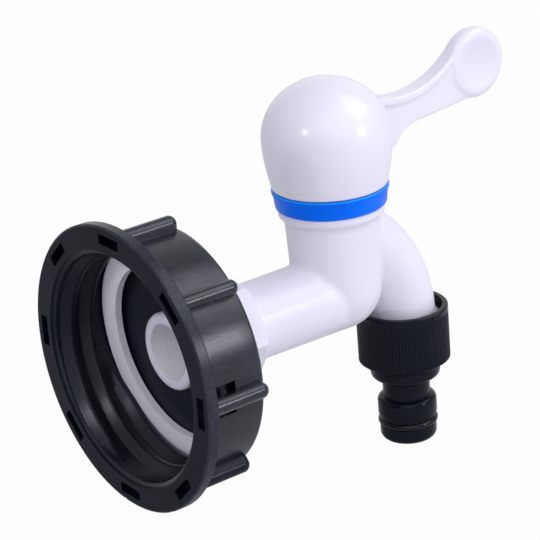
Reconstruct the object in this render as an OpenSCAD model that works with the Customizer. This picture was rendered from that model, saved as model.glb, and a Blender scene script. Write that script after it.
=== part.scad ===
// Tank tap adapter: a coarse-thread tank nut carries a white quarter-turn tap,
// and a push-fit hose nozzle is screwed on the tap's spout.
// The tank thread's axis is Y, its mouth faces +Y, and the origin is the middle of the thread.
// The coarse buttress thread stands as plain rings of its true section.

/* [Tank nut] */
// Crest diameter of the coarse tank thread
thread_crest_d = 56.6; // [55.5:0.1:57.5]
// Root diameter of the coarse tank thread
thread_root_d = 60.6; // [60:0.1:61.5]
// Pitch of the coarse tank thread
thread_pitch = 6; // [5:0.1:6.2]
// Width of a thread crest
crest_w = 2; // [1.4:0.1:2.4]
// Length of the slanting front flank of a thread ridge
flank_front = 2.2; // [1.5:0.1:2.6]
// Length of the steep rear flank of a thread ridge
flank_rear = 0.5; // [0.3:0.1:0.8]
// Diameter of the open mouth
mouth_d = 62.8; // [62:0.1:64]
// Depth of the first full crest behind the mouth
thread_lead = 3.1; // [3:0.1:5]
// Depth of the nut's floor behind the mouth
floor_depth = 19.2; // [18.8:0.1:23]
// Flange diameter
flange_d = 76; // [74:0.5:84]
// Flange thickness
flange_t = 3.3; // [2.8:0.1:5]
// Nut wall outside the thread's root, at the flange
nut_wall = 2.7; // [2.2:0.1:3]
// Draft of the nut's outside, smaller at the rear
nut_draft = 0.3; // [0.1:0.1:0.6]
// Thickness of the nut's rear wall
rear_wall = 1.8; // [1.5:0.1:5]
// Rounding of the nut's rear edge
rear_round = 1.2; // [0.5:0.1:2]
// Number of outside ribs, and of slots in the flange face
rib_count = 8; // [6:1:10]
// Angle of the first rib
rib_start = 2; // [0:0.5:5]
// Width of a rib
rib_w = 4.2; // [3.5:0.1:6]
// Radius of the ribs' crests
rib_crest_r = 36.4; // [35.5:0.1:36.8]
// Distance of the ribs' round ends from the rear face
rib_end = 0.7; // [0.3:0.1:2]
// Slot width along the flange
slot_w = 8.4; // [6:0.1:10]
// Slot height across the flange
slot_h = 2.7; // [2:0.1:3]
// Radius of the slots' middle
slot_mid_r = 34.5; // [34.2:0.1:35.2]
// Depth of the blind slots
slot_depth = 2.4; // [1:0.1:2.6]
// Which rib stands over the window
window_rib = 4; // [0:1:5]
// Length of the window behind the flange
window_len = 8.7; // [5:0.1:10]
// Width of the window round the nut
window_w = 8.5; // [7:0.1:10]
// Diameter of the rear boss
boss_d = 33; // [30:0.5:38]
// Length of the rear boss
boss_len = 7.9; // [6:0.1:11]
// Chamfer round the boss's end
boss_chamfer = 0.6; // [0.3:0.1:1]
// Chamfer where the boss leaves the rear wall
boss_foot = 1; // [0.5:0.1:1.5]
// Chamfer round the rear of the flange
flange_chamfer = 0.5; // [0.3:0.1:0.8]
// Radius of the two gate nicks in the flange edge
nick_r = 0.7; // [0.4:0.1:1]
// Angle half way between the nicks
nick_mid = 100; // [80:1:120]
// Angle from there to each nick
nick_spread = 16; // [8:1:30]

/* [Gasket] */
// Outer diameter of the gasket
gasket_d = 59.2; // [58:0.1:60]
// Width of the gasket ring
gasket_w = 6; // [3:0.1:8]
// Thickness of the gasket
gasket_t = 2; // [1.6:0.1:2.6]
// Lean of the loose gasket, whose lowest edge stands on the nut's floor
gasket_lean = 3.7; // [0:0.1:4]

/* [Tap inlet] */
// Outside diameter of the half inch pipe threads
pipe_d = 20.8; // [20.5:0.05:21]
// Radial clearance in the pipe threads
pipe_play = 0.08; // [0.05:0.01:0.15]
// How far the spigot stands proud inside the nut
spigot_proud = 4.5; // [3:0.1:5]
// Chamfer at the ends of the pipe threads
pipe_chamfer = 0.75; // [0.3:0.05:1.2]
// Thickness of the washer between the nut's boss and the hexagon collar
inlet_washer_t = 1.6; // [1:0.1:2.5]
// Width over the flats of the hexagon collar
hex_flats = 27.2; // [24:0.1:30]
// Thickness of the hexagon collar
hex_t = 6; // [4:0.1:8]
// Chamfer on the hexagon's corners, at the nut
hex_chamfer = 0.6; // [0.2:0.1:1]
// Chamfer on the hexagon's corners, at the tube
hex_rear_chamfer = 1; // [0.4:0.1:1.4]
// Diameter of the inlet tube at the collar
tube_d = 20.6; // [20:0.1:22]
// Draft of the inlet tube, thicker at the barrel
tube_draft = 0.4; // [0:0.1:0.8]
// Distance from the collar to the barrel's axis
tube_len = 34.7; // [30:0.1:45]
// Bore of the inlet
inlet_bore_d = 15; // [13:0.1:15.2]

/* [Barrel] */
// Barrel diameter under the collar bead
barrel_d = 25.6; // [25:0.1:28]
// Draft of the barrel, smaller at the bottom
barrel_draft = 0.8; // [0.2:0.1:1]
// Height of the barrel's rounded end above the inlet axis
barrel_end_z = 1.5; // [0:0.1:3]
// Height of the barrel's top face
barrel_top = 25; // [24:0.1:28]
// Diameter of the collar bead
bead_d = 28.7; // [28:0.1:31]
// Height of the collar bead
bead_h = 3; // [2.6:0.1:5]
// Rounding under the collar bead
bead_round = 1.5; // [1:0.1:1.6]
// Diameter of the chamber under the valve
chamber_d = 15.3; // [15.3:0.1:15.6]
// Height of the ledge under the seat washer
seat_z = 8; // [7.8:0.1:9]
// Bore for the headwork
head_bore_d = 19.2; // [18.6:0.1:19.8]

/* [Spout] */
// Distance from the barrel's axis to the nozzle's axis
spout_reach = 22.2; // [20:0.1:30]
// Bend radius of the spout
spout_bend = 33; // [30:0.5:36]
// Tube diameter of the spout
spout_d = 18.6; // [17:0.1:19]
// Bore of the spout
spout_bore_d = 12.6; // [12:0.1:13]
// Bore through the spout's thread
outlet_bore_d = 11.8; // [10:0.1:11.9]
// Height of the bend's end, where the thread starts
spout_thread_z = -14; // [-18:0.1:-13]
// Length of the spout's thread
spout_thread_len = 9.6; // [8:0.1:14]

/* [Headwork] */
// Seat washer thickness
seat_t = 2.4; // [1.6:0.1:2.6]
// Bore of the seat washer
seat_bore_d = 11.3; // [10:0.1:12]
// Ceramic disc diameter
disc_d = 16.2; // [15.6:0.1:16.4]
// Thickness of each ceramic disc
disc_t = 2; // [1.5:0.1:2.2]
// Inner radius of the ports through the discs
port_in_r = 2.2; // [1.8:0.1:3]
// Rim of each disc outside its ports
port_rim = 2; // [1.5:0.1:3]
// Opening of each port, in degrees round the axis
port_angle = 70; // [50:5:80]
// Width of the key that drives the upper disc
key_w = 3.2; // [2.6:0.1:4]
// Height of that key
key_h = 1; // [0.8:0.1:1.2]
// Clearance round the parts inside the headwork
head_play = 0.15; // [0.1:0.01:0.2]
// Wall of the headwork's lower skirt
skirt_wall = 1.2; // [1:0.05:1.25]
// Width of the headwork's side windows
side_window_w = 10; // [8:0.5:11]
// Thickness of the headwork's flange
head_flange_t = 2.2; // [1.6:0.1:2.6]
// Diameter of the headwork's flange
head_flange_d = 23; // [21:0.1:24]
// Height of the headwork's guide tower above its flange
tower_h = 4.6; // [3:0.1:5.4]
// Thickness of that tower round the spindle's nominal size
tower_wall = 1.7; // [1.4:0.1:2]
// Section diameter of the headwork's O-ring
head_ring_d = 1.3; // [1.2:0.01:1.35]
// Depth of the groove for that O-ring below the barrel's top
head_ring_drop = 2.45; // [2.2:0.05:3]
// Spindle diameter
spindle_d = 8; // [7:0.1:9]
// Radial running clearance of the spindle
spindle_play = 0.06; // [0.03:0.01:0.09]
// Thickness of the spindle's foot
foot_t = 3; // [2:0.1:3.4]
// Thrust washer thickness
thrust_t = 0.8; // [0.5:0.1:1]
// Section diameter of the spindle's O-rings
spindle_ring_d = 1.12; // [0.9:0.01:1.2]
// Length of the fluted head
flute_len = 11; // [8:0.5:13]
// Thickness of the retaining clip
clip_t = 0.8; // [0.6:0.1:1]
// Opening of that clip
clip_gap = 3.2; // [2:0.1:5]
// Width of the stop post, in degrees round the axis
post_angle = 16; // [12:1:24]
// Inner radius of the stop post
post_in_r = 8.6; // [8.2:0.1:9]
// Outer radius of the stop post
post_out_r = 11.4; // [10.6:0.1:11.4]
// Quarter turn of the handle
turn_angle = 90; // [80:5:95]

/* [Indicator ring] */
// Outer diameter at the bottom
ring_low_d = 29.8; // [29:0.1:31]
// Outer diameter at the top
ring_top_d = 31.4; // [30.8:0.1:32]
// Height of the ring
ring_h = 5.25; // [4.65:0.05:6]
// Thickness of its floor, held under the headwork's flange
ring_floor = 1.2; // [0.9:0.1:1.6]
// Wall of the ring
ring_wall = 1.3; // [1:0.1:1.5]
// Height of the upright rim at the top of the ring
ring_rim = 0.9; // [0.5:0.1:1.4]

/* [Handle] */
// Gap between the ring and the turning knob
knob_gap = 0.15; // [0.1:0.05:0.4]
// Diameter of the knob's rim
knob_rim_d = 31; // [30:0.1:32]
// Largest diameter of the knob
knob_d = 34.6; // [33:0.1:38]
// Height of the largest diameter above the rim
knob_rise = 13.2; // [12:0.1:16]
// Height of the dome above the largest diameter
dome_h = 15.9; // [14:0.1:18]
// Wall of the knob
knob_wall = 2.3; // [1.8:0.1:2.6]
// Distance from the knob's axis to the paddle's centre
paddle_reach = 52.5; // [48:0.5:62]
// Height of the paddle's centre above the knob's rim
paddle_rise = 21.1; // [19:0.1:23]
// Diameter of the paddle
paddle_d = 19.6; // [17:0.1:22]
// Thickness of the paddle
paddle_t = 5.4; // [4.6:0.1:6]
// Rounding of the paddle's edges
paddle_round = 1.9; // [1:0.1:2.2]
// Diameter of the dish in each side of the paddle
dish_d = 14.4; // [11:0.1:15]
// Depth of each dish
dish_depth = 1.1; // [0.5:0.1:1.4]
// Thickness of the lever at the knob
lever_root_t = 6.4; // [5.5:0.1:8]
// Thickness of the lever at the paddle
lever_neck_t = 4.2; // [3.8:0.1:4.6]
// Radius of the lever's hollow top edge
lever_top_r = 28; // [26:0.5:34]
// Turn of the top edge from its lowest point back into the knob, in degrees
root_turn = 26; // [20:1:28]
// Distance from the paddle's centre back to the top edge's end
neck_setback = 8; // [7.5:0.1:9]
// Height of the lowest point of the top edge above the knob's rim
lever_top_rise = 18.6; // [17.5:0.1:19.5]
// Distance from the knob's axis to that lowest point
lever_low_reach = 25.3; // [24:0.1:28]
// Height of the lever's top flange
lever_flange_h = 2.1; // [1.5:0.1:3]
// How far the lever's web is set back from its flange, at the knob
web_inset = 0.8; // [0.4:0.1:1]
// How far the lever's web is set back from its flange, at the paddle
web_neck_inset = 0.2; // [0.1:0.1:0.6]
// Radius of the round under the lever's root
root_round = 10.3; // [8:0.1:12]
// Distance from the knob's axis to the middle of that round
root_reach = 30.5; // [29:0.1:33]
// Height of the lever's bottom edge above the knob's rim, at that round
lever_bottom_rise = 10.2; // [8.5:0.1:11]
// Wall of the hub round the spindle's nominal size
hub_wall = 2.4; // [2:0.1:3]
// Thickness of the webs that brace the hub
brace_t = 1.6; // [1.2:0.1:2.2]
// Width of each stop rib, in degrees round the axis
stop_rib_angle = 10; // [8:1:14]
// Height of the stop ribs
stop_rib_h = 9; // [7:0.5:12]

/* [Hose connector] */
// Sleeve diameter
sleeve_d = 25.7; // [25:0.1:28]
// Height of the sleeve's mouth
sleeve_top = -11.1; // [-12.5:0.1:-11]
// Height of the sleeve's wall down to its chamfer
sleeve_h = 15.5; // [15:0.1:18]
// Chamfer under the sleeve
sleeve_chamfer = 2; // [1.5:0.1:3]
// Wall round the sleeve's open mouth
mouth_wall = 1.7; // [1.2:0.1:2]
// Washer thickness
washer_t = 1.8; // [1.4:0.1:2.2]
// Diameter of the nozzle's root collar
root_collar_d = 19.6; // [18:0.1:19.8]
// Height of the root collar
root_collar_h = 3.6; // [3:0.1:5]
// Rounding from the root collar to the neck
neck_round = 1.8; // [1.2:0.1:2.8]
// Neck diameter
neck_d = 13.3; // [12.6:0.1:14]
// Length of the neck
neck_h = 5.7; // [3.5:0.1:7]
// Diameter of the locking shoulder
shoulder_d = 16.6; // [16:0.1:17.5]
// Height of the locking shoulder
shoulder_h = 6.5; // [5:0.1:8]
// Rounding of the locking shoulder's upper edge
shoulder_round = 1.6; // [1:0.1:2]
// Section diameter of the nozzle's O-ring
nozzle_ring_d = 1.9; // [1.6:0.1:2.2]
// Height of the narrower lip above the O-ring
ring_lip = 1.1; // [0.8:0.1:1.6]
// How far that lip is set in from the shoulder
ring_lip_set = 0.5; // [0.3:0.1:0.8]
// How far the tip is set in from the shoulder
tip_set = 0.35; // [0.2:0.05:0.6]
// How far the nozzle's O-ring stands proud
ring_proud = 0.12; // [0.05:0.01:0.3]
// Height of the nozzle's tip below the O-ring
tip_h = 4.5; // [3:0.1:5]
// Rounding of the nozzle's tip
tip_round = 2; // [1.4:0.1:2.4]
// Bore of the nozzle
nozzle_bore_d = 9.5; // [8:0.1:10]

/* [Hidden] */
$fn = 96;
eps = 0.01;
// Small chamfer on moulded edges
edge = 0.3;

// Tank nut: stations along the thread axis, whose two full crests lie either side of the origin
crest_r = thread_crest_d / 2;
root_r = thread_root_d / 2;
crest_y = (thread_pitch + crest_w) / 2;
mouth_y = crest_y + thread_lead;
flange_rear_y = mouth_y - flange_t;
floor_y = mouth_y - floor_depth;
rear_y = floor_y - rear_wall;
boss_y = rear_y - boss_len;
nut_r = root_r + nut_wall;
nut_rear_r = nut_r - nut_draft;

// Tap: stations along the inlet axis
spigot_y = floor_y + spigot_proud;
hex_front_y = boss_y - inlet_washer_t;
hex_y = hex_front_y - hex_t;
barrel_y = hex_y - tube_len;
spout_y = barrel_y - spout_reach;
pipe_r = pipe_d / 2;
inlet_bore_r = inlet_bore_d / 2;
barrel_r = barrel_d / 2;
barrel_low_r = barrel_r - barrel_draft;
head_bore_r = head_bore_d / 2;
// Angle of the spout's bend from its lower end to the barrel's axis
spout_lean = acos((spout_bend - spout_reach) / spout_bend);

// Headwork: heights above the inlet axis
disc_z = seat_z + seat_t;
moving_z = disc_z + disc_t;
foot_z = moving_z + disc_t;
thrust_z = foot_z + foot_t;
skirt_top = thrust_z + thrust_t;
ring_z = barrel_top;
head_flange_z = ring_z + ring_floor;
tower_z = head_flange_z + head_flange_t;
tower_top = tower_z + tower_h;
clip_z = tower_top + 0.1;
flute_z = clip_z + clip_t + 0.5;
ring_low_z = skirt_top + 2.2;
ring_high_z = ring_low_z + 3;
head_ring_z = barrel_top - head_ring_drop;
spindle_r = spindle_d / 2;
bore_r = spindle_r + spindle_play;
flute_r = spindle_r - 0.3;
head_r = head_bore_r - 0.1;
cavity_r = head_r - skirt_wall;
disc_r = disc_d / 2;
foot_r = disc_r - 0.4;
// Squeeze of the spindle's O-rings, and their play along the spindle
ring_squeeze = 0.03;
ring_play = 0.05;

// Knob: heights above the inlet axis
knob_z = ring_z + ring_h + knob_gap;
belly_z = knob_z + knob_rise;
dome_z = belly_z + dome_h;
knob_r = knob_d / 2;
knob_rim_r = knob_rim_d / 2;
hub_r = spindle_r + hub_wall;
flute_play = 0.1;
paddle_z = knob_z + paddle_rise;
lever_low_z = knob_z + lever_top_rise;
lever_bottom_z = knob_z + lever_bottom_rise;
// Angle left between the post and a stop rib, and from the post's middle to that rib's
stop_gap = 1.5;
stop_step = post_angle / 2 + stop_rib_angle / 2 + stop_gap;

// Nozzle: heights along its own axis
spout_end_z = spout_thread_z - spout_thread_len;
sleeve_floor_z = spout_end_z - washer_t;
sleeve_low_z = sleeve_top - sleeve_h;
collar_z = sleeve_low_z - sleeve_chamfer;
neck_z = collar_z - root_collar_h;
shoulder_z = neck_z - neck_h;
ring_groove_z = shoulder_z - shoulder_h;
ring_groove_low_z = ring_groove_z - nozzle_ring_d - 0.1;
tip_z = ring_groove_low_z - tip_h;
shoulder_r = shoulder_d / 2;
nozzle_ring_r = shoulder_r + ring_proud - nozzle_ring_d / 2;

// Points of an arc round a centre, from one angle to another
function arc(c, r, a, b, n = 8) = [
    for (i = [0:n]) let (turn = a + (b - a) * i / n) c + r * [cos(turn), sin(turn)]
];

// Turns a shape built along Z so that it lies along Y
module along_y() {
    rotate([-90, 0, 0]) children();
}

// Moves a shape to the barrel's axis
module on_barrel() {
    translate([0, barrel_y, 0]) children();
}

// Moves a shape to the nozzle's axis
module on_nozzle() {
    translate([0, spout_y, 0]) children();
}

// Plain ring from its radii and heights
module tube_ring(outer, inner, low, high) {
    translate([0, 0, low]) difference() {
        cylinder(r = outer, h = high - low);
        translate([0, 0, -1]) cylinder(r = inner, h = high - low + 2);
    }
}

// Round-section ring
module o_ring(mid_r, section_d, height) {
    translate([0, 0, height]) rotate_extrude() translate([mid_r, 0]) circle(d = section_d, $fn = 32);
}

// Repeats a shape at each rib of the nut
module at_ribs(list) {
    for (k = list) rotate([0, -(rib_start + k * 360 / rib_count), 0]) children();
}

module nut_outline() {
    along_y() rotate_extrude() polygon(concat(
        [[0, boss_y], [boss_d / 2 - boss_chamfer, boss_y], [boss_d / 2, boss_y + boss_chamfer]],
        [[boss_d / 2, rear_y - boss_foot], [boss_d / 2 + boss_foot, rear_y]],
        arc([nut_rear_r - rear_round, rear_y + rear_round], rear_round, -90, 0),
        [[nut_r, flange_rear_y - flange_chamfer], [nut_r + flange_chamfer, flange_rear_y]],
        [[flange_d / 2 - flange_chamfer, flange_rear_y], [flange_d / 2, flange_rear_y + flange_chamfer]],
        [[flange_d / 2, mouth_y - edge], [flange_d / 2 - edge, mouth_y], [0, mouth_y]]
    ));
}

// Half section of a rib, which is rooted in the wall, straight at the foot and round on top
function rib_half() = concat(
    [[0, root_r + nut_wall / 2], [rib_w / 2, root_r + nut_wall / 2]],
    arc([0, rib_crest_r - rib_w / 2], rib_w / 2, 0, 90, 8)
);

// Outside rib: a round-topped bar from the flange with a domed end
module nut_rib() {
    half = rib_half();
    end_y = rear_y + rib_end + rib_w / 2;
    rotate([0, 90, 0]) translate([0, end_y, 0]) rotate_extrude() polygon(half);
    translate([0, end_y, 0]) rotate([-90, 90, 0]) linear_extrude(height = flange_rear_y - end_y + 1)
        polygon(concat(half, [for (i = [len(half) - 2:-1:1]) [-half[i][0], half[i][1]]]));
}

// Points of a thread ridge's section, from its front foot to its rear foot
function ridge(top_r, y) = [
    [root_r, y + flank_front], [top_r, y], [top_r, y - crest_w], [root_r, y - crest_w - flank_rear]
];

// Everything that is open inside the nut
module nut_inside() {
    mouth_r = mouth_d / 2;
    along_y() rotate_extrude() polygon(concat(
        [[0, mouth_y + 1], [mouth_r + edge, mouth_y + 1], [mouth_r + edge, mouth_y], [mouth_r, mouth_y - edge]],
        [[mouth_r, crest_y + flank_front + 2 * edge]],
        ridge(crest_r, crest_y),
        ridge(crest_r, crest_y - thread_pitch),
        [[root_r, floor_y], [0, floor_y]]
    ));
    translate([0, boss_y - 1, 0]) along_y() cylinder(r = pipe_r + pipe_play, h = rear_wall + boss_len + 2);
}

module tank_nut() {
    color([0.2, 0.22, 0.24]) difference() {
        union() {
            nut_outline();
            at_ribs([0:rib_count - 1]) nut_rib();
        }
        nut_inside();
        at_ribs([0:rib_count - 1]) translate([slot_mid_r - slot_h / 2, mouth_y - slot_depth, -slot_w / 2])
            cube([slot_h, slot_depth + 1, slot_w]);
        at_ribs([window_rib]) {
            translate([slot_mid_r - slot_h / 2, flange_rear_y - 0.5, -slot_w / 2])
                cube([slot_h, flange_t + 1, slot_w]);
            translate([crest_r - 1, flange_rear_y - window_len, -window_w / 2])
                cube([nut_r + 0.3 - crest_r + 1, window_len, window_w]);
        }
        for (a = [nick_mid - nick_spread, nick_mid + nick_spread])
            rotate([0, a, 0]) translate([flange_d / 2 + nick_r * 0.3, flange_rear_y - 1, 0])
                along_y() cylinder(r = nick_r, h = flange_t + 2, $fn = 24);
    }
}

// Flat ring that lies loose in the nut and leans on its lowest edge
module nut_gasket() {
    gasket_r = gasket_d / 2;
    color([0.93, 0.92, 0.9]) translate([0, floor_y + eps, -gasket_r]) rotate([-gasket_lean, 0, 0])
        translate([0, 0, gasket_r]) along_y() tube_ring(gasket_r, gasket_r - gasket_w, 0, gasket_t);
}

// Flat washer that seals the tap's collar on the nut's boss
module inlet_washer() {
    color([0.1, 0.1, 0.1]) translate([0, boss_y, 0]) rotate([90, 0, 0])
        tube_ring(hex_flats / 2 - 0.4, pipe_r + 0.2, 0, inlet_washer_t);
}

// Spigot, hexagon collar and inlet tube, before they are bored
module inlet() {
    translate([0, spigot_y, 0]) rotate([90, 0, 0]) {
        cylinder(r1 = pipe_r - pipe_chamfer, r2 = pipe_r, h = pipe_chamfer);
        translate([0, 0, pipe_chamfer]) cylinder(r = pipe_r, h = spigot_y - hex_front_y - pipe_chamfer + eps);
    }
    face_r = hex_flats / 2 + hex_chamfer;
    corner_r = hex_flats / sqrt(3) - 0.1;
    translate([0, hex_y, 0]) along_y() intersection() {
        cylinder(r = hex_flats / sqrt(3), h = hex_t, $fn = 6);
        rotate_extrude() polygon([
            [0, 0], [face_r, 0], [corner_r, hex_rear_chamfer],
            [corner_r, hex_t - hex_chamfer], [face_r, hex_t], [0, hex_t]
        ]);
    }
    translate([0, barrel_y, 0]) along_y() cylinder(
        d1 = tube_d + 2 * tube_draft, d2 = tube_d, h = tube_len + eps);
}

// Barrel with its round lower end and collar bead
module barrel() {
    bead_r = bead_d / 2;
    bead_z = barrel_top - bead_h;
    rotate_extrude() polygon(concat(
        arc([0, barrel_end_z], barrel_low_r, -90, 0, 16),
        [[barrel_r, bead_z]],
        arc([bead_r - bead_round, bead_z + bead_round], bead_round, -70, 0, 5),
        [[bead_r, barrel_top - edge], [bead_r - edge, barrel_top], [0, barrel_top]]
    ));
}

// Spout bend of a given section, from its lower end up to the barrel's axis
module spout_arc(d, lean) {
    translate([0, spout_y + spout_bend, spout_thread_z]) rotate([90, 0, 90]) rotate([0, 0, 180 - lean])
        rotate_extrude(angle = lean) translate([spout_bend, 0]) circle(d = d);
}

module tap_body() {
    chamber_r = chamber_d / 2;
    color([0.95, 0.95, 0.96]) difference() {
        union() {
            inlet();
            on_barrel() barrel();
            spout_arc(spout_d, spout_lean);
            on_nozzle() translate([0, 0, spout_end_z]) {
                cylinder(r1 = pipe_r - pipe_chamfer, r2 = pipe_r, h = pipe_chamfer);
                translate([0, 0, pipe_chamfer]) cylinder(r = pipe_r, h = spout_thread_len - pipe_chamfer + 0.4);
            }
        }
        translate([0, barrel_y, 0]) along_y() cylinder(r = inlet_bore_r, h = spigot_y - barrel_y + 1);
        on_barrel() {
            sphere(r = chamber_r);
            cylinder(r = chamber_r, h = seat_z + eps);
            translate([0, 0, seat_z]) cylinder(r = head_bore_r, h = barrel_top - seat_z + 1);
        }
        spout_arc(spout_bore_d, spout_lean);
        on_nozzle() translate([0, 0, spout_end_z - 1]) cylinder(d = outlet_bore_d, h = spout_thread_len + 2);
    }
}

module seat_washer() {
    color([0.12, 0.12, 0.12]) on_barrel() tube_ring(cavity_r - head_play, seat_bore_d / 2, seat_z, disc_z);
}

// The two opposite ports of a ceramic disc, each a part of a ring
module disc_ports() {
    for (middle = [-90, 90]) rotate([0, 0, middle - port_angle / 2]) translate([0, 0, -1])
        rotate_extrude(angle = port_angle) translate([port_in_r, 0])
            square([disc_r - port_rim - port_in_r, disc_t + 2]);
}

module fixed_disc() {
    color([0.97, 0.97, 0.95]) on_barrel() translate([0, 0, disc_z]) difference() {
        cylinder(r = disc_r, h = disc_t);
        disc_ports();
    }
}

module moving_disc() {
    color([0.9, 0.9, 0.88]) on_barrel() translate([0, 0, moving_z]) difference() {
        cylinder(r = disc_r, h = disc_t);
        disc_ports();
        translate([-key_w / 2 - 0.1, -disc_r, disc_t - key_h]) cube([key_w + 0.2, disc_d, key_h + 1]);
    }
}

// Headwork: skirt round the discs, neck with the spindle's bore, flange, tower and stop post
module cartridge() {
    skirt_z = seat_z + 0.6;
    window_low_z = moving_z + 0.8;
    window_top_z = skirt_top - 0.4;
    head_groove_h = head_ring_d + 0.6;
    head_groove_r = head_r - head_ring_d + 0.05;
    color([0.86, 0.83, 0.7]) on_barrel() difference() {
        union() {
            translate([0, 0, skirt_z]) cylinder(r = head_r, h = head_flange_z - skirt_z + eps);
            translate([0, 0, head_flange_z]) cylinder(d = head_flange_d, h = head_flange_t);
            translate([0, 0, tower_z]) cylinder(r = spindle_r + tower_wall, h = tower_h);
            rotate([0, 0, 90 - post_angle / 2]) translate([0, 0, tower_z - eps])
                rotate_extrude(angle = post_angle) translate([post_in_r, 0])
                    square([post_out_r - post_in_r, tower_h - 2 * edge]);
        }
        translate([0, 0, seat_z]) cylinder(r = cavity_r, h = skirt_top - seat_z);
        translate([0, 0, seat_z]) cylinder(r = bore_r, h = tower_top - seat_z + 1);
        for (a = [0, 180]) rotate([0, 0, a]) translate([-side_window_w / 2, cavity_r - 3, window_low_z])
            cube([side_window_w, 6, window_top_z - window_low_z]);
        tube_ring(head_r + 1, head_groove_r, head_ring_z - head_groove_h / 2, head_ring_z + head_groove_h / 2);
    }
}

// Seal in the groove round the headwork, a little proud of it to press on the barrel
module cartridge_oring() {
    color([0.1, 0.1, 0.1]) on_barrel() o_ring(head_r + 0.07 - head_ring_d / 2, head_ring_d, head_ring_z);
}

// Spindle: foot with driving key, shaft with two O-ring grooves, clip groove, fluted head
module spindle() {
    groove_r = spindle_r - spindle_ring_d + ring_squeeze;
    groove_half = spindle_ring_d / 2 + ring_play;
    key_len = disc_d - 2;
    color([0.82, 0.72, 0.4]) on_barrel() difference() {
        union() {
            translate([0, 0, foot_z]) cylinder(r = foot_r, h = foot_t);
            translate([-key_w / 2, -key_len / 2, foot_z - key_h + 0.1]) cube([key_w, key_len, key_h]);
            translate([0, 0, thrust_z - eps]) cylinder(r = spindle_r, h = flute_z - thrust_z + eps);
            translate([0, 0, flute_z - eps]) cylinder(r = flute_r, h = flute_len + eps, $fn = 12);
        }
        for (z = [ring_low_z, ring_high_z])
            tube_ring(spindle_r + 1, groove_r, z - groove_half, z + groove_half);
        tube_ring(spindle_r + 1, spindle_r - 0.7, clip_z, clip_z + clip_t + 0.05);
    }
}

module thrust_washer() {
    color([0.95, 0.95, 0.95]) on_barrel() tube_ring(foot_r, spindle_r + 0.1, thrust_z, skirt_top - 0.3);
}

// Seal in a groove of the spindle
module spindle_oring(height) {
    color([0.1, 0.1, 0.1]) on_barrel()
        o_ring(spindle_r + ring_squeeze - spindle_ring_d / 2, spindle_ring_d, height);
}

module spindle_oring_lower() {
    spindle_oring(ring_low_z);
}

module spindle_oring_upper() {
    spindle_oring(ring_high_z);
}

// Open clip that snaps in the spindle's groove
module spindle_clip() {
    color([0.7, 0.7, 0.72]) on_barrel() difference() {
        tube_ring(spindle_r + 1.5, spindle_r - 0.65, clip_z + 0.02, clip_z + clip_t);
        translate([-clip_gap / 2, 0, clip_z - 1]) cube([clip_gap, spindle_r + 3, 3]);
    }
}

module blue_ring() {
    low_r = ring_low_d / 2;
    top_r = ring_top_d / 2;
    hole_r = head_r + edge;
    color([0.0, 0.35, 0.9]) on_barrel() translate([0, 0, ring_z]) rotate_extrude() polygon([
        [hole_r, 0], [low_r - edge, 0], [low_r, edge], [top_r - edge, ring_h - ring_rim - edge],
        [top_r, ring_h - ring_rim], [top_r, ring_h - edge], [top_r - edge, ring_h], [top_r - ring_wall, ring_h],
        [low_r - ring_wall, ring_floor], [hole_r, ring_floor]
    ]);
}

// Knob's outline: a curved skirt up to the belly, then the dome. The inside is set in by the wall.
module knob_outline(inset) {
    low_z = inset > 0 ? knob_z - 1 : knob_z;
    rim_r = knob_rim_r - inset;
    swell = knob_r - knob_rim_r;
    polygon(concat(
        [[0, low_z], [rim_r, low_z], [rim_r, knob_z + edge]],
        [for (a = [18:9:90]) [rim_r + swell * sin(a), knob_z + knob_rise * a / 90]],
        [for (a = [5:5:85]) [(knob_r - inset) * cos(a), belly_z + (dome_h - inset) * sin(a)]],
        [[0, dome_z - inset]]
    ));
}

// Side view of the lever, reaching from inside the knob to the paddle's centre
module lever_side() {
    top_centre = [lever_low_reach, lever_low_z + lever_top_r];
    under_centre = [root_reach, lever_bottom_z - root_round];
    neck = asin((paddle_reach - neck_setback - lever_low_reach) / lever_top_r);
    inside_r = knob_rim_r - 2 * knob_wall;
    polygon(concat(
        [[paddle_reach, paddle_z + paddle_round]],
        arc(top_centre, lever_top_r, neck - 90, -root_turn - 90, 14),
        [[inside_r, lever_low_z], [inside_r, knob_z], [knob_rim_r - 1, knob_z + 0.8]],
        arc(under_centre, root_round, 145, 90, 8),
        [[paddle_reach, paddle_z] + paddle_d / 2 * [cos(250), sin(250)]],
        [[paddle_reach, paddle_z - paddle_round]]
    ));
}

// Plan of the lever: a wedge from inside the knob to the paddle, set in by a margin at each end
module lever_plan(root_margin, neck_margin) {
    root = lever_root_t / 2 - root_margin;
    neck = lever_neck_t / 2 - neck_margin;
    polygon([[-root, -10], [root, -10], [neck, -paddle_reach - 1], [-neck, -paddle_reach - 1]]);
}

// Lever web with its wider top flange
module lever() {
    intersection() {
        rotate([90, 0, -90]) linear_extrude(height = 20, center = true) lever_side();
        translate([0, 0, knob_z - 1]) linear_extrude(height = 40) lever_plan(web_inset, web_neck_inset);
    }
    intersection() {
        rotate([90, 0, -90]) linear_extrude(height = 20, center = true) difference() {
            lever_side();
            translate([0, -lever_flange_h]) lever_side();
        }
        translate([0, 0, knob_z - 1]) linear_extrude(height = 40) lever_plan(0, 0);
    }
}

// Moves a shape built round Z to the paddle's centre, with its axis along X
module at_paddle() {
    translate([0, -paddle_reach, paddle_z]) rotate([0, 90, 0]) children();
}

// Round finger paddle with soft edges
module paddle() {
    half = paddle_t / 2;
    edge_r = paddle_d / 2 - paddle_round;
    at_paddle() rotate_extrude() polygon(concat(
        [[0, -half]],
        arc([edge_r, paddle_round - half], paddle_round, -90, 0, 6),
        arc([edge_r, half - paddle_round], paddle_round, 0, 90, 6),
        [[0, half]]
    ));
}

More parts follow.
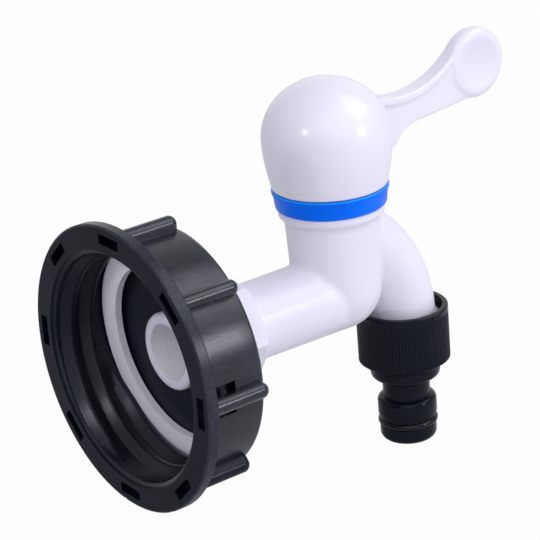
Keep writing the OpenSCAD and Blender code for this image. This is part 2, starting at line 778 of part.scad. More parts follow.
// The ball that hollows the dish in each side of the paddle
module dishes() {
    dish_r = dish_d / 2;
    ball = (dish_r * dish_r + dish_depth * dish_depth) / (2 * dish_depth);
    at_paddle() for (side = [-1, 1])
        translate([0, 0, side * (paddle_t / 2 - dish_depth + ball)]) sphere(r = ball);
}

module handle() {
    color([0.95, 0.95, 0.96]) on_barrel() {
        difference() {
            union() {
                rotate_extrude() knob_outline(0);
                lever();
                paddle();
            }
            rotate_extrude() knob_outline(knob_wall);
            dishes();
        }
        difference() {
            intersection() {
                union() {
                    translate([0, 0, flute_z - 0.1]) cylinder(r = hub_r, h = 40);
                    for (a = [45, 135]) rotate([0, 0, a]) translate([-knob_r, -brace_t / 2, flute_z + 4])
                        cube([knob_d, brace_t, 40]);
                    for (a = [90 + stop_step, 90 - stop_step - turn_angle])
                        rotate([0, 0, a - stop_rib_angle / 2]) translate([0, 0, knob_z])
                            rotate_extrude(angle = stop_rib_angle) translate([post_in_r + edge, 0])
                                square([knob_r - post_in_r, stop_rib_h]);
                }
                rotate_extrude() knob_outline(knob_wall - 0.2);
            }
            translate([0, 0, flute_z - 1])
                cylinder(r = flute_r + flute_play, h = flute_len + 1 + edge, $fn = 12);
        }
    }
}

module connector_washer() {
    color([0.1, 0.1, 0.1]) on_nozzle()
        tube_ring(pipe_r - 0.2, nozzle_bore_d / 2 + 1, sleeve_floor_z, spout_end_z);
}

module hose_connector() {
    sleeve_r = sleeve_d / 2;
    collar_r = root_collar_d / 2;
    neck_r = neck_d / 2;
    groove_r = nozzle_ring_r - nozzle_ring_d / 2;
    thread_r = pipe_r + pipe_play;
    mouth_r = sleeve_r - mouth_wall;
    lip_r = shoulder_r - ring_lip_set;
    tip_r = shoulder_r - tip_set;
    color([0.2, 0.22, 0.24]) on_nozzle() difference() {
        rotate_extrude() polygon(concat(
            [[0, sleeve_top], [sleeve_r - edge, sleeve_top], [sleeve_r, sleeve_top - edge]],
            [[sleeve_r, sleeve_low_z], [collar_r, collar_z], [collar_r, neck_z + neck_round]],
            arc([collar_r - neck_round, neck_z + neck_round], neck_round, 0, -80, 6),
            [[neck_r, neck_z], [neck_r, shoulder_z]],
            arc([shoulder_r - shoulder_round, shoulder_z - shoulder_round], shoulder_round, 80, 0, 5),
            [[shoulder_r, ring_groove_z + ring_lip + edge], [lip_r, ring_groove_z + ring_lip]],
            [[lip_r, ring_groove_z], [groove_r, ring_groove_z]],
            [[groove_r, ring_groove_low_z], [tip_r, ring_groove_low_z]],
            arc([tip_r - tip_round, tip_z + tip_round], tip_round, 0, -70, 5),
            [[tip_r - tip_round, tip_z], [0, tip_z]]
        ));
        rotate_extrude() polygon([
            [0, sleeve_top + 1], [mouth_r + edge, sleeve_top + 1], [mouth_r, sleeve_top - 2 * edge],
            [mouth_r, spout_thread_z + edge], [thread_r, spout_thread_z - 2 * edge],
            [thread_r, sleeve_floor_z], [0, sleeve_floor_z]
        ]);
        translate([0, 0, tip_z - 1]) cylinder(d = nozzle_bore_d, h = sleeve_floor_z - tip_z + 2);
    }
}

module nozzle_oring() {
    color([0.08, 0.08, 0.08]) on_nozzle()
        o_ring(nozzle_ring_r, nozzle_ring_d, (ring_groove_z + ring_groove_low_z) / 2);
}

tank_nut();
nut_gasket();
inlet_washer();
tap_body();
seat_washer();
fixed_disc();
moving_disc();
cartridge();
cartridge_oring();
spindle();
thrust_washer();
spindle_oring_lower();
spindle_oring_upper();
spindle_clip();
blue_ring();
handle();
connector_washer();
hose_connector();
nozzle_oring();
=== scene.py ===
"""The looks of a plastic tank tap adapter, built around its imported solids."""

import math

import bmesh
import bpy
import numpy as np
from mathutils import Matrix, Vector


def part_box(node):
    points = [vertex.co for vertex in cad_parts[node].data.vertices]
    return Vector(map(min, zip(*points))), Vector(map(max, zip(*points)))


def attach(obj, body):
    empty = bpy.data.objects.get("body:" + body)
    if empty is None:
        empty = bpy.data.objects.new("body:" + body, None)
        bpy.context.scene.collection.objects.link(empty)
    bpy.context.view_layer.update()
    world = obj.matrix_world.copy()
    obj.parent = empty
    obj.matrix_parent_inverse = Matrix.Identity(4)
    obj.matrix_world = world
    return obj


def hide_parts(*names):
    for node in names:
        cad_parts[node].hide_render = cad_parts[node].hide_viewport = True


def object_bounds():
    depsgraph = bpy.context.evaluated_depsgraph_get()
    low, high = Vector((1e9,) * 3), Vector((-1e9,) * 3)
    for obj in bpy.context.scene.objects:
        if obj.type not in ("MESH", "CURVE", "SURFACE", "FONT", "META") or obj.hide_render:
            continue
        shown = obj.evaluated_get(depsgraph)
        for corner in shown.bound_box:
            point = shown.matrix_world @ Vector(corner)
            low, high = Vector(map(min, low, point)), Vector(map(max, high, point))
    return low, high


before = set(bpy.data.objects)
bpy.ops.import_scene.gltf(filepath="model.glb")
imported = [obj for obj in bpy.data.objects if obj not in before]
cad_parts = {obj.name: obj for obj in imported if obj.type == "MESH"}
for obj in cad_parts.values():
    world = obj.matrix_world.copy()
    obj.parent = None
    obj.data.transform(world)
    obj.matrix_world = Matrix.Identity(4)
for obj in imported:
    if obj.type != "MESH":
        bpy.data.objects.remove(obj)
cad_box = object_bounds()

# Tap body. The white tap is one injection moulding in glossy ABS: a threaded inlet with a
# hexagon, a plain tube, an upright barrel for the valve and a down-turned spout. The mould
# leaves soft inside corners where the tubes meet, and the inlet's end is sawn off.

MM = 0.001
SAME_POINT = 0.002 * MM
SOFTEN_PULL = 0.7
TAP_SKIN = 0.445 * MM
TAP_FILLET_STEPS = 9
TAP_SHINE = 0.12
WHITE_ABS = (0.801, 0.774, 0.874, 1)
WHITE_ABS_SHADE = (0.776, 0.750, 0.846, 1)
WHITE_ABS_EDGE = 0.25 * MM
DUST = (0.60, 0.58, 0.60, 1)
SAWN_FROM = -12.6 * MM
SAWN_CHALK = (0.60, 0.60, 0.69, 1)
SAWN_CRUMBS = (0.42, 0.42, 0.46, 1)
INLET_BORE = 7.5 * MM
INLET_BORE_SEEN = -36 * MM
# Painted light and painted shade in the inlet's bore: bright below, darker above.
BORE_PAINTED_LIGHT_BELOW = (0.97, 0.97, 1.0, 1)
BORE_PAINTED_SHADE_ABOVE = (0.72, 0.72, 0.75, 1)


class Wire:
    """One socket of a node tree. Sums on it add the Math nodes that work them out."""

    def __init__(self, tree, socket=None):
        self.tree = tree
        self.socket = socket

    def node(self, kind, settings=None, sockets=None, out=0):
        """Adds a node: its settings first, then a value or a Wire for each named socket."""
        made = self.tree.nodes.new("ShaderNode" + kind)
        for name, value in (settings or {}).items():
            setattr(made, name, value)
        for name, value in (sockets or {}).items():
            if isinstance(value, Wire):
                self.tree.links.new(value.socket, made.inputs[name])
            else:
                made.inputs[name].default_value = value
        return None if out is None else Wire(self.tree, made.outputs[out])

    def math(self, operation, first, second=0.0):
        """A Math node on two values or Wires."""
        return self.node("Math", {"operation": operation}, {0: first, 1: second})

    def __add__(self, other):
        return self.math("ADD", self, other)

    def __radd__(self, other):
        return self.math("ADD", other, self)

    def __sub__(self, other):
        return self.math("SUBTRACT", self, other)

    def __rsub__(self, other):
        return self.math("SUBTRACT", other, self)

    def __mul__(self, other):
        return self.math("MULTIPLY", self, other)

    def __rmul__(self, other):
        return self.math("MULTIPLY", other, self)

    def between(self, low, high):
        """0 below low, 1 above high, and a smooth rise from one to the other."""
        return self.node(
            "MapRange",
            {"interpolation_type": "SMOOTHSTEP"},
            {"Value": self, "From Min": low, "From Max": high},
        )

    def blend(self, first, second):
        """A colour from first, where this is 0, to second, where it is 1."""
        return self.node("Mix", {"data_type": "RGBA"}, {0: self, 6: first, 7: second}, out=2)

    def noise(self, scale, detail=2.0, roughness=0.5):
        """A cloud over the place that this holds, with scale clouds to the metre."""
        return self.node(
            "TexNoise",
            None,
            {"Vector": self, "Scale": scale, "Detail": detail, "Roughness": roughness},
        )

    def axis(self, index):
        """The x, y or z of the place that this holds, for index 0, 1 or 2."""
        return self.node("SeparateXYZ", None, {0: self}, out=index)

    def off_axis(self):
        """The square of how far the place that this holds is from the inlet's axis."""
        return self.axis(0) * self.axis(0) + self.axis(2) * self.axis(2)

    def beyond(self, near, far):
        """From the square of a distance: 0 nearer than near, and 1 further than far."""
        return self.between(near**2, far**2)

    def stretched(self, x, y, z):
        """The place that this holds, with its three lengths multiplied."""
        return self.node("VectorMath", {"operation": "MULTIPLY"}, {0: self, 1: (x, y, z)})


def blank(name):
    """A new material, and the place on the piece as a Wire."""
    material = bpy.data.materials.new(name)
    material.use_nodes = True
    material.node_tree.nodes.clear()
    place = Wire(material.node_tree).node("TexCoord", out="Object")
    return material, place


def dress(material, relief, depth, sockets, rounding=0.0):
    """Ends a material: its relief in metres of depth, its rounded edges and its surface."""
    wires = Wire(material.node_tree)
    bump = {"Height": relief, "Distance": depth, "Strength": 1.0}
    if rounding:
        bump["Normal"] = wires.node("Bevel", {"samples": 6}, {"Radius": rounding})
    sockets["Normal"] = wires.node("Bump", None, bump)
    surface = wires.node("BsdfPrincipled", None, sockets)
    wires.node("OutputMaterial", None, {"Surface": surface}, out=None)
    return material


def sawn_spigot(place, tone, gloss, relief):
    """The inlet's sawn end: a chalky, crumbling rim, and in the bore a painted light below and a
    painted shade above.
    """
    bore = 1 - place.off_axis().beyond(INLET_BORE - 0.1 * MM, INLET_BORE + 0.2 * MM)
    end = place.axis(1).between(SAWN_FROM, SAWN_FROM + 0.6 * MM)
    crumbs = place.noise(1100, 4.0, 0.7)
    height = place.axis(2).between(-6.5 * MM, 6.5 * MM)
    # Inside the bore the colour is painted light below and painted shade above; the rim is
    # chalky.
    chalk_and_painted_light = bore.blend(SAWN_CHALK, height.blend(BORE_PAINTED_LIGHT_BELOW, BORE_PAINTED_SHADE_ABOVE))
    chalk_and_painted_light = (crumbs.between(0.5, 0.75) * 0.25).blend(chalk_and_painted_light, SAWN_CRUMBS)
    # The bore's painted light and shade reach from the end as far in as INLET_BORE_SEEN.
    painted_bore = bore * place.axis(1).between(INLET_BORE_SEEN, INLET_BORE_SEEN + 1 * MM)
    tone = tone.math("MAXIMUM", end, painted_bore).blend(tone, chalk_and_painted_light)
    return tone, gloss + end * 0.3, relief + end * crumbs * 6


def glossy_white(name, shine, sawn_end=None):
    """Moulded white plastic: faint flow clouds, fine dust marks and a nearly even gloss."""
    material, place = blank(name)
    clouds = place.stretched(1, 1, 0.6).noise(55, 3.0)
    specks = place.noise(1500, 1.0).between(0.70, 0.80)
    wipes = place.noise(160, 4.0, 0.6)
    tone = clouds.between(0.3, 0.7).blend(WHITE_ABS, WHITE_ABS_SHADE)
    tone = (specks * 0.10).blend(tone, DUST)
    gloss = 0.36 + wipes * 0.08 + specks * 0.10
    relief = clouds * 0.6 + place.noise(500, 2.0) * 0.4
    if sawn_end:
        tone, gloss, relief = sawn_end(place, tone, gloss, relief)
    return dress(
        material,
        relief,
        0.012 * MM,
        {
            "Base Color": tone,
            "Roughness": gloss,
            "IOR": 1.5,
            "Coat Weight": shine,
            "Coat Roughness": 0.16,
        },
        rounding=WHITE_ABS_EDGE,
    )


def copy_of(node, name):
    """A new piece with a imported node's shape, its doubled corners joined, to be worked on."""
    work = bmesh.new()
    work.from_mesh(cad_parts[node].data)
    bmesh.ops.remove_doubles(work, verts=work.verts, dist=SAME_POINT)
    work.verts.index_update()
    data = bpy.data.meshes.new(name)
    data.from_pydata(
        [v.co[:] for v in work.verts], [], [[v.index for v in f.verts] for f in work.faces]
    )
    work.free()
    piece = bpy.data.objects.new(name, data)
    bpy.context.scene.collection.objects.link(piece)
    return piece


def settle(piece):
    """Puts what the piece's modifiers make into its own mesh."""
    graph = bpy.context.evaluated_depsgraph_get()
    made = bpy.data.meshes.new_from_object(piece.evaluated_get(graph))
    piece.modifiers.clear()
    piece.data = made
    return piece


def remesh(piece, size):
    """Turns the piece into one even skin of small squares."""
    modifier = piece.modifiers.new("skin", "REMESH")
    modifier.mode = "VOXEL"
    modifier.voxel_size = size
    return settle(piece)


def soften(piece, steps, hollow_only):
    """Rounds the corners of an even skin a little at each step, or its inside ones alone."""
    data = piece.data
    count = len(data.vertices)
    place = np.empty(count * 3)
    data.vertices.foreach_get("co", place)
    place = place.reshape(-1, 3)
    ends = np.empty(len(data.edges) * 2, int)
    data.edges.foreach_get("vertices", ends)
    ends = ends.reshape(-1, 2)
    both = np.concatenate([ends, ends[:, ::-1]])
    near = np.bincount(both[:, 0], minlength=count)[:, None]
    for _ in range(steps):
        pull = np.stack(
            [np.bincount(both[:, 0], place[both[:, 1], i], count) for i in range(3)], 1
        )
        pull = pull / near - place
        data.vertices.foreach_set("co", place.ravel())
        data.update()
        normal = np.empty(count * 3)
        data.vertices.foreach_get("normal", normal)
        normal = normal.reshape(-1, 3)
        if hollow_only:
            pull = normal * np.maximum((pull * normal).sum(1), 0)[:, None]
        place += pull * SOFTEN_PULL
    data.vertices.foreach_set("co", place.ravel())
    data.update()
    return piece


def smooth(piece, angle):
    """Smooth shading, with edges sharper than the angle kept crisp."""
    piece.data.shade_smooth()
    piece.data.set_sharp_from_angle(angle=math.radians(angle))
    return piece


def give(piece, material, body=None, node=None):
    """Gives a piece its material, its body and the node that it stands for."""
    if not piece.material_slots:
        piece.data.materials.append(material)
    for held in piece.material_slots:
        held.material = material
    if body:
        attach(piece, body)
    if node:
        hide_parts(node)
    return piece


white_abs = glossy_white("white_abs", TAP_SHINE, sawn_spigot)
tap = remesh(copy_of("tap_body", "tap_moulding"), TAP_SKIN)
smooth(soften(tap, TAP_FILLET_STEPS, hollow_only=True), angle=40)
give(tap, white_abs, "tap", "tap_body")

# Tank nut. A black coupling nut moulded in glass-filled nylon, with a coarse buttress thread
# inside, grip ribs outside and slots in the flange's face. It is screwed up by hand on the tank.

NUT_BLACK = (0.0022, 0.0038, 0.0085, 1)
NUT_GREY = (0.0046, 0.0066, 0.0125, 1)
BLACK_SCRATCHES = (0.09, 0.10, 0.13, 1)
# A paler black for wear by rubbing, also used as painted light inside the nut.
BLACK_RUBBED_AND_PAINTED_LIGHT = (0.042, 0.046, 0.058, 1)
BLACK_GLINT = (0.70, 0.83, 1.0, 1)
BLACK_EDGE = 0.25 * MM
NUT_COAT = (0.93, 0.95, 1.0, 1)
NUT_UPPER = (-30 * MM, 4 * MM)
NUT_LOWER = (-12 * MM, 6 * MM)
NUT_SKIN = (31.0 * MM, 31.3 * MM)
NUT_FLOOR = (-11.9 * MM, -11.5 * MM)
THREAD_ZONE_REAR = (-11.0 * MM, -10.6 * MM)
FLANGE_BACK = (3.6 * MM, 3.9 * MM)
FLANGE_EDGE = (37.3 * MM, 37.7 * MM)
FLANGE_FACE = (7.2 * MM, 7.6 * MM)
THREAD_PITCH = 6 * MM
THREAD_ROOT = 30.32 * MM
THREAD_FOOT = 30.9 * MM
THREAD_START = math.radians(-80)
THREAD_TURNS = 2.18
THREAD_STEPS_A_TURN = 96
THREAD_RUN_OUT = 9
THREAD_LEAST = 0.2
THREAD_REAR = 1.9 * MM
THREAD_FRONT_LIMIT = 6.7 * MM
PLAIN_BORE = (-5.0 * MM, 6.25 * MM)
BORE_SIDES = 192
GASKET_MIDDLE = -8.18 * MM
GASKET_SLOPE = math.tan(math.radians(3.7))
GASKET_GAP = 0.2 * MM
# The ridge's section in mm: how far from the axis, and how far before its rear foot.
RIDGE = (
    (30.9, 3.9),
    (30.3, 3.3),
    (30.02, 2.95),
    (28.75, 1.6),
    (28.5, 1.34),
    (28.35, 1.08),
    (28.3, 0.8),
    (28.3, 0.12),
    (28.36, -0.04),
    (28.55, -0.15),
    (30.3, -0.45),
    (30.9, -0.55),
)


def satin_black(name, colours, gloss_low, gloss_span, depth, scuff, shine=None):
    """Black moulded plastic: mottled satin, hair scratches and paler patches worn by rubbing.

    shine takes the place on the piece, the patches and the scratches, and gives where the
    skin is polished and where it is paler, from 0 to 1: worn pale by rubbing, and painted light
    inside the nut.
    """
    material, place = blank(name)
    mottle = place.noise(420, 4.0, 0.6)
    patches = place.noise(60, 3.0)
    hairs = place.stretched(1, 0.12, 1).noise(900, 3.0, 0.7).between(0.62, 0.74)
    tone = (patches.between(0.35, 0.75) * 0.8).blend(*colours)
    tone = (hairs * scuff).blend(tone, BLACK_SCRATCHES)
    sockets = {
        "Base Color": tone,
        "Roughness": gloss_low + patches * gloss_span + mottle * 0.06 + hairs * scuff,
        "IOR": 1.48,
        "Specular IOR Level": 0.08,
        "Specular Tint": BLACK_GLINT,
        "Coat Weight": 0.15,
        "Coat Roughness": 0.09,
    }
    if shine:
        polished, rubbed_and_painted_light = shine(place, patches, hairs)
        # Base colour: paler where worn by rubbing, and painted light inside the nut.
        sockets["Base Color"] = rubbed_and_painted_light.blend(tone, BLACK_RUBBED_AND_PAINTED_LIGHT)
        sockets["Coat Weight"] = polished
        sockets["Coat Roughness"] = 0.27
        sockets["Coat Tint"] = NUT_COAT
    relief = mottle * 0.6 + place.noise(1600, 2.0) * 0.3 - hairs * (scuff * 4)
    return dress(material, relief, depth, sockets, rounding=BLACK_EDGE)


def nut_shine(place, patches, hairs):
    """The nut's outside and thread are polished, its flange's edge worn pale by rubbing, and its
    floor and thread lightened with painted light.
    """
    away, along, height = place.off_axis(), place.axis(1), place.axis(2)
    skin = away.beyond(*NUT_SKIN)
    face = along.between(*FLANGE_FACE)
    outside = skin * (1 - along.between(*FLANGE_BACK))
    edge = away.beyond(*FLANGE_EDGE) * (1 - face)
    # The floor inside the nut, which gets painted light.
    painted_light_floor = (1 - along.between(*NUT_FLOOR)) * (1 - skin)
    thread_zone = (1 - skin) * (1 - face) * along.between(*THREAD_ZONE_REAR)
    upper = 0.20 + height.between(*NUT_UPPER) * 0.65
    lower = 1 - height.between(*NUT_LOWER) * 0.8
    grain = place.stretched(1, 0.1, 1).noise(1500, 4.0, 0.7)
    polished = (outside + edge * 0.4) * upper + thread_zone * lower * 0.5
    polished = polished * (0.40 + patches * 0.50 + grain * 0.85)
    chafed = place.noise(1100, 4.0, 0.7).between(0.45, 0.70)
    rubbed_and_painted_light = edge * (0.15 + patches * 0.40 + chafed * 0.45)
    rubbed_and_painted_light = rubbed_and_painted_light + face * patches.between(0.50, 0.75) * chafed * 0.30
    # Painted light lightens the nut's floor and, a little, its thread; the thread's chafed marks
    # on top are wear.
    rubbed_and_painted_light = rubbed_and_painted_light + painted_light_floor * 0.32 + thread_zone * (0.06 + chafed * 0.12)
    rubbed_and_painted_light = rubbed_and_painted_light + outside * (patches.between(0.45, 0.7) * 0.10 + hairs * 0.30)
    return polished, rubbed_and_painted_light


def cut(piece, tool, operation="DIFFERENCE"):
    """Cuts the tool out of the piece, or joins it on, and throws the tool away."""
    modifier = piece.modifiers.new("cut", "BOOLEAN")
    modifier.operation = operation
    modifier.solver = "MANIFOLD"
    modifier.object = tool
    settle(piece)
    bpy.data.objects.remove(tool)
    return piece


def swept(name, rings, endless=False):
    """A closed solid through a row of rings, each a list of the same number of points."""
    work = bmesh.new()
    skins = [[work.verts.new(point) for point in ring] for ring in rings]
    following = skins[1:] + skins[:1] if endless else skins[1:]
    for one, two in zip(skins, following):
        for i in range(len(one)):
            j = (i + 1) % len(one)
            work.faces.new((one[i], one[j], two[j], two[i]))
    if not endless:
        work.faces.new(skins[0][::-1])
        work.faces.new(skins[-1])
    bmesh.ops.recalc_face_normals(work, faces=work.faces)
    data = bpy.data.meshes.new(name)
    work.to_mesh(data)
    work.free()
    piece = bpy.data.objects.new(name, data)
    bpy.context.scene.collection.objects.link(piece)
    return piece


def round_y(radius, along, turn):
    """A point round the nut's axis: turn 0 is +X and a quarter turn is +Z."""
    return (radius * math.cos(turn), along, radius * math.sin(turn))


nut = copy_of("tank_nut", "nut_moulding")
bore_turns = [math.tau * i / BORE_SIDES for i in range(BORE_SIDES)]
bore_rings = [[round_y(THREAD_ROOT, y, turn) for turn in bore_turns] for y in PLAIN_BORE]
cut(nut, swept("bore", bore_rings))
steps = int(THREAD_STEPS_A_TURN * THREAD_TURNS)
thread_rings = []
for i in range(steps + 1):
    turn = THREAD_START + math.tau * THREAD_TURNS * i / steps
    fade = min(1, i / THREAD_RUN_OUT, (steps - i) / THREAD_RUN_OUT)
    fade = THREAD_LEAST + (1 - THREAD_LEAST) * fade * fade * (3 - 2 * fade)
    gasket = GASKET_MIDDLE + GASKET_SLOPE * THREAD_ROOT * math.sin(turn) + GASKET_GAP
    rear = max(THREAD_REAR - THREAD_PITCH * turn / math.tau, gasket)
    section = []
    for r, y in RIDGE:
        radius = THREAD_FOOT - (THREAD_FOOT - r * MM) * fade
        section.append(round_y(radius, min(rear + y * MM, THREAD_FRONT_LIMIT), turn))
    thread_rings.append(section)
cut(nut, swept("thread", thread_rings), "UNION")
smooth(nut, angle=32)
nut_black = satin_black(
    "nut_black",
    (NUT_BLACK, NUT_GREY),
    gloss_low=0.24,
    gloss_span=0.10,
    depth=0.02 * MM,
    scuff=0.15,
    shine=nut_shine,
)
give(nut, nut_black, "tap", "tank_nut")

# Gasket. A flat ring punched from white foam rubber, which seals the nut on the tank's outlet.
# It isn't fixed, and lies a little askew between the nut's floor and its thread.

FOAM = (0.82, 0.83, 0.88, 1)
FOAM_MARKS = (0.50, 0.50, 0.49, 1)


def white_foam_finish(name):
    """White foam rubber: matt, with fine open cells and a few grey finger marks."""
    material, place = blank(name)
    cells = place.noise(2600, 3.0, 0.7)
    marks = place.noise(110, 4.0, 0.6).between(0.55, 0.8)
    return dress(
        material,
        cells,
        0.10 * MM,
        {
            "Base Color": (marks * 0.35).blend(FOAM, FOAM_MARKS),
            "Roughness": 0.62 + cells * 0.2,
            "IOR": 1.45,
        },
        rounding=0.15 * MM,
    )


give(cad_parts["nut_gasket"], white_foam_finish("white_foam"))

# Rubber seals. Black nitrile washers and O-rings, moulded and slipped into their grooves or
# seats at every joint that holds water.

RUBBER = (0.0045, 0.0055, 0.0080, 1)
RUBBER_BLOOM = (0.0075, 0.0090, 0.012, 1)


def black_rubber_finish(name):
    """Black rubber: a smooth skin with bloom and a fine grain."""
    material, place = blank(name)
    grain = place.noise(2200, 2.0)
    bloom = place.noise(240, 3.0).between(0.4, 0.8)
    return dress(
        material,
        grain,
        0.01 * MM,
        {
            "Base Color": (bloom * 0.6).blend(RUBBER, RUBBER_BLOOM),
            "Roughness": 0.18 + grain * 0.12,
            "IOR": 1.5,
            "Specular IOR Level": 0.10,
            "Specular Tint": BLACK_GLINT,
            "Coat Weight": 0.30,
            "Coat Roughness": 0.09,
        },
    )


black_rubber = black_rubber_finish("black_rubber")
for seal in (
    "inlet_washer",
    "seat_washer",
    "cartridge_oring",
    "spindle_oring_lower",
    "spindle_oring_upper",
    "connector_washer",
    "nozzle_oring",
):
    give(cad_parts[seal], black_rubber)

# Valve parts. Two lapped ceramic discs under a plastic spindle, held in a plastic cartridge
# that is pressed into the barrel. A steel clip keeps the spindle down.


def valve_finish(name, colour, gloss, grain_scale, depth, metallic=0.0):
    """A plain finish for a part inside: one colour in an uneven depth, grain and gloss."""
    material, place = blank(name)
    grain = place.noise(grain_scale, 3.0)
    paler = tuple(min(1.0, 1.15 * c) for c in colour)
    return dress(
        material,
        grain,
        depth,
        {
            "Base Color": grain.blend(colour, paler),
            "Roughness": gloss + grain * 0.12,
            "Metallic": metallic,
        },
    )


ceramic = valve_finish("ceramic", (0.80, 0.79, 0.74, 1), 0.12, 1800, 0.01 * MM)
headwork = valve_finish("headwork_plastic", (0.62, 0.60, 0.50, 1), 0.35, 700, 0.03 * MM)
slip = valve_finish("slip_plastic", (0.55, 0.55, 0.52, 1), 0.30, 900, 0.02 * MM)
spring_steel = valve_finish("spring_steel", (0.45, 0.44, 0.42, 1), 0.22, 1500, 0.01 * MM, 1.0)
for part, material in (
    ("fixed_disc", ceramic),
    ("moving_disc", ceramic),
    ("cartridge", headwork),
    ("spindle", slip),
    ("thrust_washer", slip),
    ("spindle_clip", spring_steel),
):
    give(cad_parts[part], material)

# Indicator ring. A bright blue collar moulded in one colour of plastic. It snaps on the barrel,
# under the handle, and stays there when the handle turns.

RING_BLUE = (0.001, 0.150, 0.93, 1)
RING_BLUE_DEEP = (0.001, 0.130, 0.86, 1)
# Painted light on the ring's thin top edge.
RING_LIP_PAINTED_LIGHT = (0.02, 0.34, 1.0, 1)
RING_GLINT = (0.12, 0.72, 1.0, 1)
RING_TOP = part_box("blue_ring")[1].z


def ring_blue_finish(name):
    """Blue moulded plastic, a little uneven in depth of colour, with painted light on its thin
    top edge.
    """
    material, place = blank(name)
    clouds = place.noise(90, 3.0)
    # Where the painted light on the top edge goes.
    painted_lip_light = place.axis(2).between(RING_TOP - 0.45 * MM, RING_TOP - 0.2 * MM)
    tone = clouds.between(0.3, 0.7).blend(RING_BLUE, RING_BLUE_DEEP)
    return dress(
        material,
        place.noise(1100, 2.0),
        0.02 * MM,
        {
            "Base Color": (painted_lip_light * 0.7).blend(tone, RING_LIP_PAINTED_LIGHT),
            "Roughness": 0.34 + clouds * 0.10,
            "IOR": 1.5,
            "Specular IOR Level": 0.30,
            "Specular Tint": RING_GLINT,
        },
        rounding=0.2 * MM,
    )


give(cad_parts["blue_ring"], ring_blue_finish("ring_blue"))

# Handle. A round knob, a flat lever and a dished finger paddle in one moulding of the tap's
# white plastic, polished a little more. Its splined hub is pushed on the spindle.

HANDLE_SKIN = 0.365 * MM
HANDLE_FILLET_STEPS = 6
HANDLE_SHINE = 0.55

knob = remesh(copy_of("handle", "handle_moulding"), HANDLE_SKIN)
soften(knob, HANDLE_FILLET_STEPS, hollow_only=True)
smooth(soften(knob, 1, hollow_only=False), angle=50)
white_gloss = glossy_white("white_gloss", HANDLE_SHINE)
give(knob, white_gloss, "turning_handle", "handle")

# Hose connector. A click connector moulded in black plastic: a finely knurled sleeve, a neck
# and a nozzle. It is screwed on the end of the spout, over a washer.

CONNECTOR_BLACK = (0.0034, 0.0050, 0.0088, 1)
CONNECTOR_GREY = (0.0048, 0.0066, 0.0110, 1)
GRIP_RADIUS = 12.854 * MM
GRIP_DEPTH = 0.25 * MM
GRIP_TOP = -13.0 * MM
GRIP_LOW = -27.4 * MM
GRIP_RIBS = 88
GRIP_STEPS_A_RIB = 6
GRIP_CUTTER = 0.6 * MM
NOZZLE_AXIS = -86.3 * MM

connector = copy_of("hose_connector", "connector_moulding")
grooves = []
for i in range(GRIP_RIBS * GRIP_STEPS_A_RIB):
    turn = math.tau * i / (GRIP_RIBS * GRIP_STEPS_A_RIB)
    groove = GRIP_DEPTH * (1 - abs(math.cos(GRIP_RIBS * turn / 2)))
    section = []
    # The cutter's section runs up outside the sleeve, over its top and down the groove.
    for extra, height in (
        (GRIP_CUTTER, GRIP_LOW),
        (GRIP_CUTTER, GRIP_TOP + 0.5 * MM),
        (0.0, GRIP_TOP + 0.5 * MM),
        (0.0, GRIP_TOP + 0.3 * MM),
        (-groove, GRIP_TOP),
        (-groove, GRIP_LOW),
    ):
        across = (GRIP_RADIUS + extra) * math.cos(turn)
        along = (GRIP_RADIUS + extra) * math.sin(turn)
        section.append((across, NOZZLE_AXIS + along, height))
    grooves.append(section)
cut(connector, swept("grooves", grooves, endless=True))
smooth(connector, angle=32)
connector_black = satin_black(
    "connector_black",
    (CONNECTOR_BLACK, CONNECTOR_GREY),
    gloss_low=0.15,
    gloss_span=0.05,
    depth=0.004 * MM,
    scuff=0.02,
)
give(connector, connector_black, "tap", "hose_connector")

# Studio. A plain pale floor under the tap, in a pale room with a camera, two large softboxes
# above and in front, and two small ones that make the highlights on the knob.

VIEW_AZIMUTH = math.radians(233.71)
VIEW_ELEVATION = math.radians(21.0)
VIEW_ROLL = math.radians(-4.73)
VIEW_DISTANCE = 0.56045
VIEW_TARGET = Vector((0, -0.04222, 0.01230))
VIEW_LENS = 142.68
SENSOR_WIDTH = 36
NEAREST_SEEN = 0.01
LAMP_DISTANCE = 1.3
LAMP_TINT = (0.92, 0.92, 1.0)
ROOM_TINT = (0.94, 0.95, 1.0, 1)
ROOM_LEVEL = 0.56
BACKDROP_BEHIND = 0.87
BACKDROP_ABOVE = 0.5
BACKDROP_REACH = (0.7, 0.95)
WHITE = (1, 1, 1, 1)
FLOOR_REACH = 3.0
FLOOR_HEIGHT = cad_box[0].z - 0.2 * MM
FLOOR_PAPER = (0.80, 0.80, 0.80, 1)
FLOOR_FIBRES = (0.72, 0.72, 0.72, 1)
FLOOR_SEEN = 0.96
FLOOR_GLOSSY = 0.05

ahead = Vector(
    (
        -math.sin(VIEW_AZIMUTH) * math.cos(VIEW_ELEVATION),
        math.cos(VIEW_AZIMUTH) * math.cos(VIEW_ELEVATION),
        -math.sin(VIEW_ELEVATION),
    )
)
level = ahead.cross(Vector((0, 0, 1))).normalized()
rise = level.cross(ahead)
side = math.cos(VIEW_ROLL) * level + math.sin(VIEW_ROLL) * rise
over = -math.sin(VIEW_ROLL) * level + math.cos(VIEW_ROLL) * rise
eye = VIEW_TARGET - ahead * VIEW_DISTANCE
camera_data = bpy.data.cameras.new("camera")
camera_data.lens = VIEW_LENS
camera_data.sensor_width = SENSOR_WIDTH
camera_data.clip_start = NEAREST_SEEN
camera = bpy.data.objects.new("camera", camera_data)
camera.matrix_world = Matrix(
    (
        (side.x, over.x, -ahead.x, eye.x),
        (side.y, over.y, -ahead.y, eye.y),
        (side.z, over.z, -ahead.z, eye.z),
        (0, 0, 0, 1),
    )
)
bpy.context.scene.collection.objects.link(camera)
bpy.context.scene.camera = camera


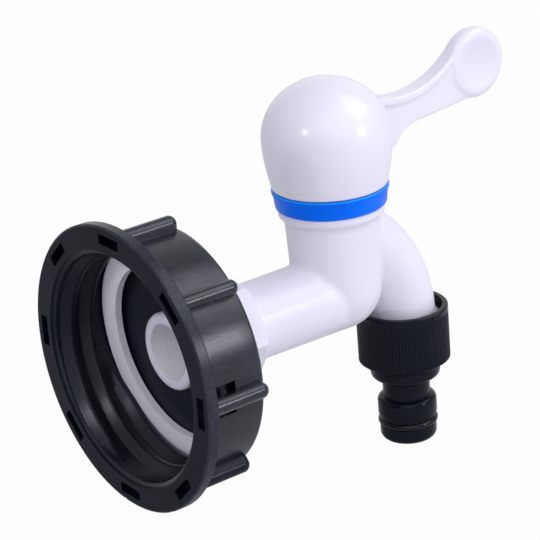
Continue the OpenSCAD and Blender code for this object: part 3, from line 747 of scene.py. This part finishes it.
def softbox(name, right, up, near, size, power):
    """A square lamp that way from the tap, as the camera sees it, turned to face the tap."""
    data = bpy.data.lights.new(name, "AREA")
    data.shape = "SQUARE"
    data.size = size
    data.energy = power
    data.color = LAMP_TINT
    lamp = bpy.data.objects.new(name, data)
    way = (right * level + up * rise - near * ahead).normalized()
    lamp.location = VIEW_TARGET + way * LAMP_DISTANCE
    lamp.rotation_mode = "QUATERNION"
    lamp.rotation_quaternion = way.to_track_quat("Z", "Y")
    bpy.context.scene.collection.objects.link(lamp)


softbox("top_lamp", 0.67, 0.71, 0.22, size=0.8, power=5.3)
softbox("front_lamp", 0.10, 0.35, 0.93, size=1.3, power=5.1)
softbox("key_lamp", 0.86, 0.12, 0.46, size=0.24, power=3.2)
softbox("fill_lamp", -0.60, 0.24, 0.77, size=0.18, power=2.0)


def seen_as(wires, glossy):
    """1 for what the camera sees, straight or through glass, and glossy in a reflection."""
    seen = wires.node("LightPath", out="Is Glossy Ray") * glossy
    for ray in ("Is Camera Ray", "Is Transmission Ray"):
        seen = wires.math("MAXIMUM", seen, wires.node("LightPath", out=ray))
    return seen


# The tap is lit by a grey room. The camera, and what the tap mirrors behind it, see white.
world = bpy.data.worlds.new("studio")
bpy.context.scene.world = world
world.use_nodes = True
world.node_tree.nodes.clear()
room = Wire(world.node_tree)
way = room.node("TexCoord", out="Generated")
middle = tuple(BACKDROP_BEHIND * ahead + BACKDROP_ABOVE * over)
backdrop = room.node("VectorMath", {"operation": "DOT_PRODUCT"}, {0: way, 1: middle}, "Value")
seen = seen_as(room, backdrop.between(*BACKDROP_REACH))
walls = room.node("Background", None, {"Color": ROOM_TINT, "Strength": ROOM_LEVEL})
paper_white = room.node("Background", None, {"Color": WHITE, "Strength": 1.0})
shown = room.node("MixShader", None, {0: seen, 1: walls, 2: paper_white})
room.node("OutputWorld", None, {"Surface": shown}, out=None)

# The floor is matt paper, seen nearly white, with a faint shadow of the tap.
floor_data = bpy.data.meshes.new("floor")
corners = ((-1, -1), (1, -1), (1, 1), (-1, 1))
floor_data.from_pydata(
    [(x * FLOOR_REACH, y * FLOOR_REACH, FLOOR_HEIGHT) for x, y in corners], [], [(0, 1, 2, 3)]
)
floor = bpy.data.objects.new("floor", floor_data)
bpy.context.scene.collection.objects.link(floor)
paper, spot = blank("floor_paper")
grey = (spot.noise(900, 3.0) * 0.1).blend(FLOOR_PAPER, FLOOR_FIBRES)
matt = spot.node("BsdfDiffuse", None, {"Color": grey})
lit = spot.node("Emission", None, {"Color": WHITE, "Strength": 1.0})
seen = seen_as(spot, FLOOR_GLOSSY) * FLOOR_SEEN
shown = spot.node("MixShader", None, {0: seen, 1: matt, 2: lit})
spot.node("OutputMaterial", None, {"Surface": shown}, out=None)
floor_data.materials.append(paper)

bpy.context.scene.view_settings.view_transform = "Standard"
